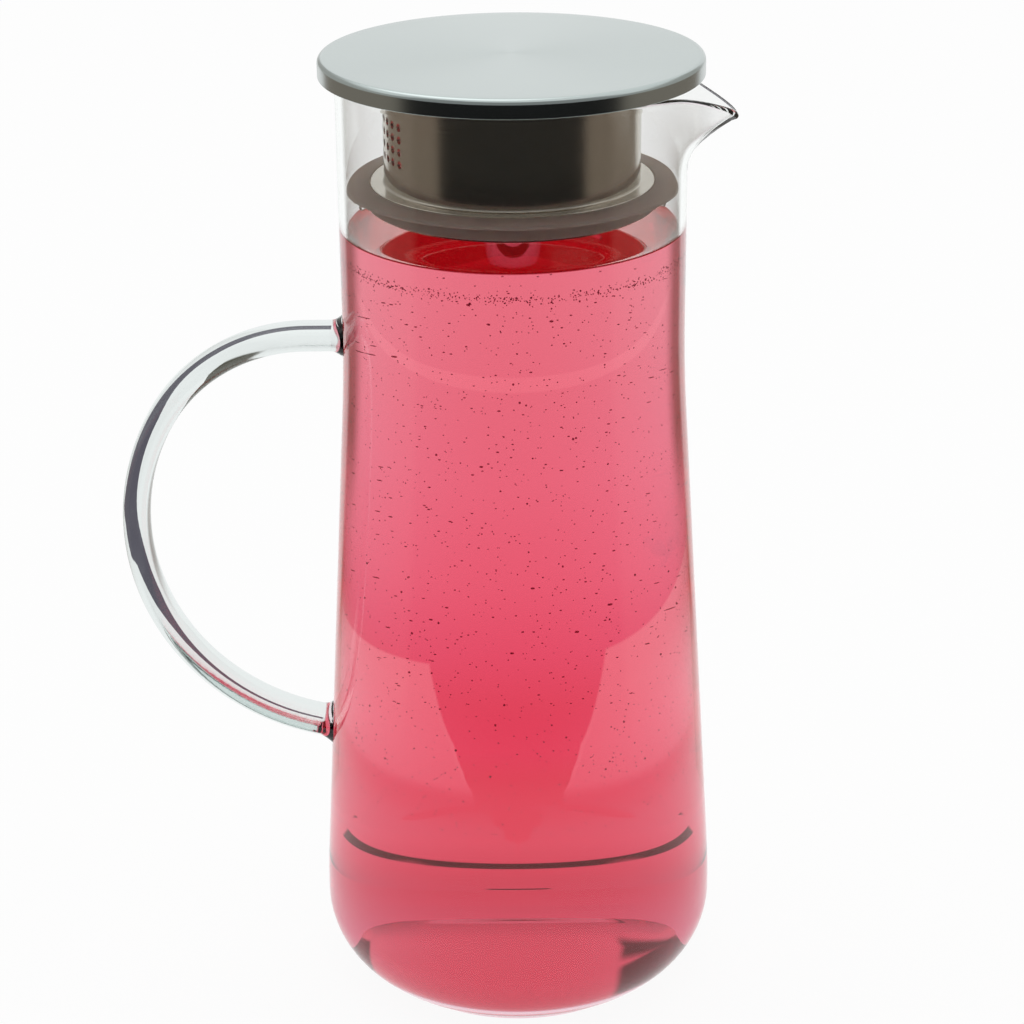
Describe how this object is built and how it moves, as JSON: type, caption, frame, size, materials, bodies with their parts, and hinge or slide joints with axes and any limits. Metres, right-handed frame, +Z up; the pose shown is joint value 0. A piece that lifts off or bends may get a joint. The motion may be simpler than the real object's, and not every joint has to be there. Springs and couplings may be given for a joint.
{
  "type": "glass jug with strainer lid",
  "caption": "Tall clear glass jug with a loop handle and a pulled pouring lip, filled with red drink, and a steel lid with a perforated strainer tube and a seal ring.",
  "frame": {"origin": "middle of the flat foot, on the jug's axis, at the surface that it stands on", "axes": "+Z up along the jug's axis, +X towards the pouring lip, the handle at -X, +Y to the left when looking along +X"},
  "size_m": [0.1604, 0.1062, 0.2552],
  "materials": {
    "glass": "gloss",
    "drink": "gloss",
    "silicone": "satin",
    "tube_steel": "satin",
    "plate_steel": "satin",
    "cap_steel": "satin"
  },
  "bodies": {
    "jug": {"glass_jug": "glass", "drink": "drink"},
    "seal": {"seal_ring": "silicone"},
    "lid": {"strainer_tube": "tube_steel", "lid_base": "plate_steel", "lid_cap": "cap_steel"}
  },
  "joints": [
    {"name": "lid_lift", "type": "slide", "parent": "jug", "child": "seal", "axis": [0, 0, 1], "range_m": [0, 0.06]},
    {"name": "lid_turn", "type": "hinge", "parent": "seal", "child": "lid", "pos_m": [0, 0, 0.2238], "axis": [0, 0, 1], "continuous": true}
  ]
}
